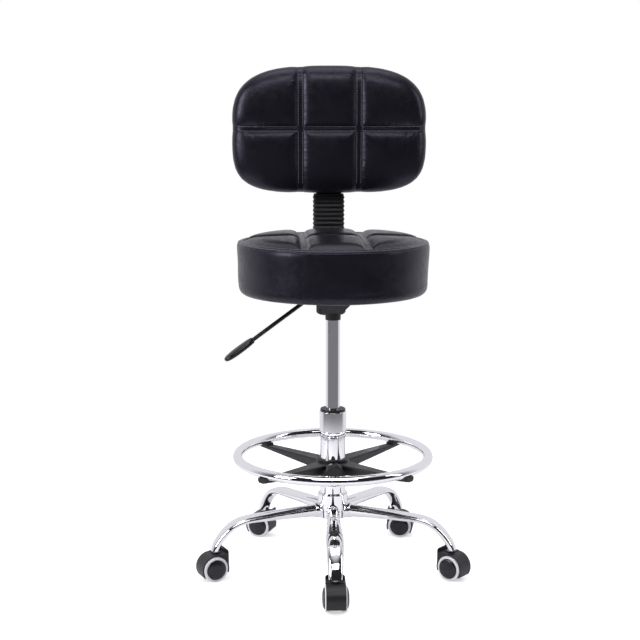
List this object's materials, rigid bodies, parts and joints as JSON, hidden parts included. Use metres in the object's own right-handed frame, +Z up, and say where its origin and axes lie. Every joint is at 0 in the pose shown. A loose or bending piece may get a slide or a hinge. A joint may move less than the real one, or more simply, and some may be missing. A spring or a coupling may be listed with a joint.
{
  "type": "drafting chair",
  "caption": "Height-adjustable drafting chair: round padded seat, padded backrest, gas lift, sliding chrome foot ring and a star base on swivel casters.",
  "frame": {"origin": "on the floor under the middle of the column", "axes": "+Z up, -Y towards the front of the chair, backrest on the +Y side"},
  "size_m": [0.5416, 0.5096, 1.0065],
  "materials": {
    "black_leather": "satin",
    "chrome": "polished",
    "steel": "satin",
    "painted_steel": "satin",
    "black_plastic": "satin",
    "gloss_plastic": "gloss",
    "pale_tread": "satin",
    "bellows_rubber": "satin",
    "plywood": "matte",
    "thread": "matte",
    "lining": "matte"
  },
  "bodies": {
    "base": {"base_hub": "chrome", "base_legs": "chrome", "caster_stems": "steel", "column_tube": "chrome", "column_collar": "chrome", "column_bush": "black_plastic", "thrust_bearing": "steel"},
    "foot_ring": {"foot_ring": "chrome", "ring_spider": "black_plastic", "ring_screws": "steel"},
    "ring_knob": {"ring_lock_knob": "black_plastic"},
    "piston": {"piston_rod": "steel"},
    "seat": {"gas_tube": "chrome", "taper_cap": "black_plastic", "taper_socket": "painted_steel", "seat_plate": "painted_steel", "bar_guide": "painted_steel", "seat_board": "plywood", "seat_cushion": "black_leather", "seat_bolts": "steel", "tee_nuts": "steel"},
    "button": {"release_button": "steel"},
    "lever": {"lever_rod": "painted_steel", "lever_handle": "gloss_plastic"},
    "back": {"back_bar": "painted_steel", "back_bellows": "bellows_rubber", "back_cushion": "black_leather", "back_shell": "black_plastic", "back_screws": "steel"},
    "back_knob": {"back_knob": "black_plastic"},
    "caster_1": {"caster_1_hood": "black_plastic", "caster_1_axle": "steel"},
    "caster_1_left": {"caster_1_wheel_left": "pale_tread", "caster_1_cap_left": "gloss_plastic"},
    "caster_1_right": {"caster_1_wheel_right": "pale_tread", "caster_1_cap_right": "gloss_plastic"},
    "caster_2": {"caster_2_hood": "black_plastic", "caster_2_axle": "steel"},
    "caster_2_left": {"caster_2_wheel_left": "pale_tread", "caster_2_cap_left": "gloss_plastic"},
    "caster_2_right": {"caster_2_wheel_right": "pale_tread", "caster_2_cap_right": "gloss_plastic"},
    "caster_3": {"caster_3_hood": "black_plastic", "caster_3_axle": "steel"},
    "caster_3_left": {"caster_3_wheel_left": "pale_tread", "caster_3_cap_left": "gloss_plastic"},
    "caster_3_right": {"caster_3_wheel_right": "pale_tread", "caster_3_cap_right": "gloss_plastic"},
    "caster_4": {"caster_4_hood": "black_plastic", "caster_4_axle": "steel"},
    "caster_4_left": {"caster_4_wheel_left": "pale_tread", "caster_4_cap_left": "gloss_plastic"},
    "caster_4_right": {"caster_4_wheel_right": "pale_tread", "caster_4_cap_right": "gloss_plastic"},
    "caster_5": {"caster_5_hood": "black_plastic", "caster_5_axle": "steel"},
    "caster_5_left": {"caster_5_wheel_left": "pale_tread", "caster_5_cap_left": "gloss_plastic"},
    "caster_5_right": {"caster_5_wheel_right": "pale_tread", "caster_5_cap_right": "gloss_plastic"}
  },
  "joints": [
    {"name": "seat_swivel", "type": "hinge", "parent": "base", "child": "piston", "pos_m": [0, 0, 0.117], "axis": [0, 0, 1], "continuous": true},
    {"name": "seat_height", "type": "slide", "parent": "piston", "child": "seat", "axis": [0, 0, 1], "range_m": [-0.16, 0]},
    {"name": "lever_lift", "type": "hinge", "parent": "seat", "child": "lever", "pos_m": [-0.02869, -0.00877, 0.549], "axis": [-0.2924, 0.9563, 0], "range_deg": [0, 7], "stiffness_Nm_per_rad": 4, "springref_deg": -11.46},
    {"name": "button_press", "type": "slide", "parent": "seat", "child": "button", "axis": [0, 0, -1], "range_m": [0, 0.00372]},
    {"name": "ring_height", "type": "slide", "parent": "base", "child": "foot_ring", "axis": [0, 0, 1], "range_m": [-0.034, 0.038]},
    {"name": "ring_knob_turn", "type": "hinge", "parent": "foot_ring", "child": "ring_knob", "pos_m": [0, -0.05, 0.2055], "axis": [0, -1, 0], "range_deg": [-180, 180]},
    {"name": "back_depth", "type": "slide", "parent": "seat", "child": "back", "axis": [0, 1, 0], "range_m": [0, 0.04]},
    {"name": "back_knob_turn", "type": "hinge", "parent": "seat", "child": "back_knob", "pos_m": [0, 0.092, 0.52], "axis": [0, 0, 1], "range_deg": [-180, 180]},
    {"name": "caster_1_swivel", "type": "hinge", "parent": "base", "child": "caster_1", "pos_m": [-0.00549, -0.24194, 0.045], "axis": [0, 0, 1], "continuous": true},
    {"name": "caster_1_left_roll", "type": "hinge", "parent": "caster_1", "child": "caster_1_left", "pos_m": [-0.00549, -0.25094, 0.025], "axis": [1, 0, 0], "continuous": true},
    {"name": "caster_1_right_roll", "type": "hinge", "parent": "caster_1", "child": "caster_1_right", "pos_m": [-0.00549, -0.25094, 0.025], "axis": [1, 0, 0], "continuous": true},
    {"name": "caster_2_swivel", "type": "hinge", "parent": "base", "child": "caster_2", "pos_m": [0.2284, -0.07998, 0.045], "axis": [0, 0, 1], "continuous": true},
    {"name": "caster_2_left_roll", "type": "hinge", "parent": "caster_2", "child": "caster_2_left", "pos_m": [0.23519, -0.08589, 0.025], "axis": [0.6561, 0.7547, 0], "continuous": true},
    {"name": "caster_2_right_roll", "type": "hinge", "parent": "caster_2", "child": "caster_2_right", "pos_m": [0.23519, -0.08589, 0.025], "axis": [0.6561, 0.7547, 0], "continuous": true},
    {"name": "caster_3_swivel", "type": "hinge", "parent": "base", "child": "caster_3", "pos_m": [0.14665, 0.19251, 0.045], "axis": [0, 0, 1], "continuous": true},
    {"name": "caster_3_left_roll", "type": "hinge", "parent": "caster_3", "child": "caster_3_left", "pos_m": [0.15548, 0.19079, 0.025], "axis": [0.1908, 0.9816, 0], "continuous": true},
    {"name": "caster_3_right_roll", "type": "hinge", "parent": "caster_3", "child": "caster_3_right", "pos_m": [0.15548, 0.19079, 0.025], "axis": [0.1908, 0.9816, 0], "continuous": true},
    {"name": "caster_4_swivel", "type": "hinge", "parent": "base", "child": "caster_4", "pos_m": [-0.13777, 0.19896, 0.045], "axis": [0, 0, 1], "continuous": true},
    {"name": "caster_4_left_roll", "type": "hinge", "parent": "caster_4", "child": "caster_4_left", "pos_m": [-0.14605, 0.20248, 0.025], "axis": [-0.3907, -0.9205, 0], "continuous": true},
    {"name": "caster_4_right_roll", "type": "hinge", "parent": "caster_4", "child": "caster_4_right", "pos_m": [-0.14605, 0.20248, 0.025], "axis": [-0.3907, -0.9205, 0], "continuous": true},
    {"name": "caster_5_swivel", "type": "hinge", "parent": "base", "child": "caster_5", "pos_m": [-0.23179, -0.06954, 0.045], "axis": [0, 0, 1], "continuous": true},
    {"name": "caster_5_left_roll", "type": "hinge", "parent": "caster_5", "child": "caster_5_left", "pos_m": [-0.23998, -0.07327, 0.025], "axis": [0.4147, -0.91, 0], "continuous": true},
    {"name": "caster_5_right_roll", "type": "hinge", "parent": "caster_5", "child": "caster_5_right", "pos_m": [-0.23998, -0.07327, 0.025], "axis": [0.4147, -0.91, 0], "continuous": true}
  ],
  "couplings": [
    {"joint": "button_press", "follows": "lever_lift", "m_per_rad": 0.03}
  ]
}
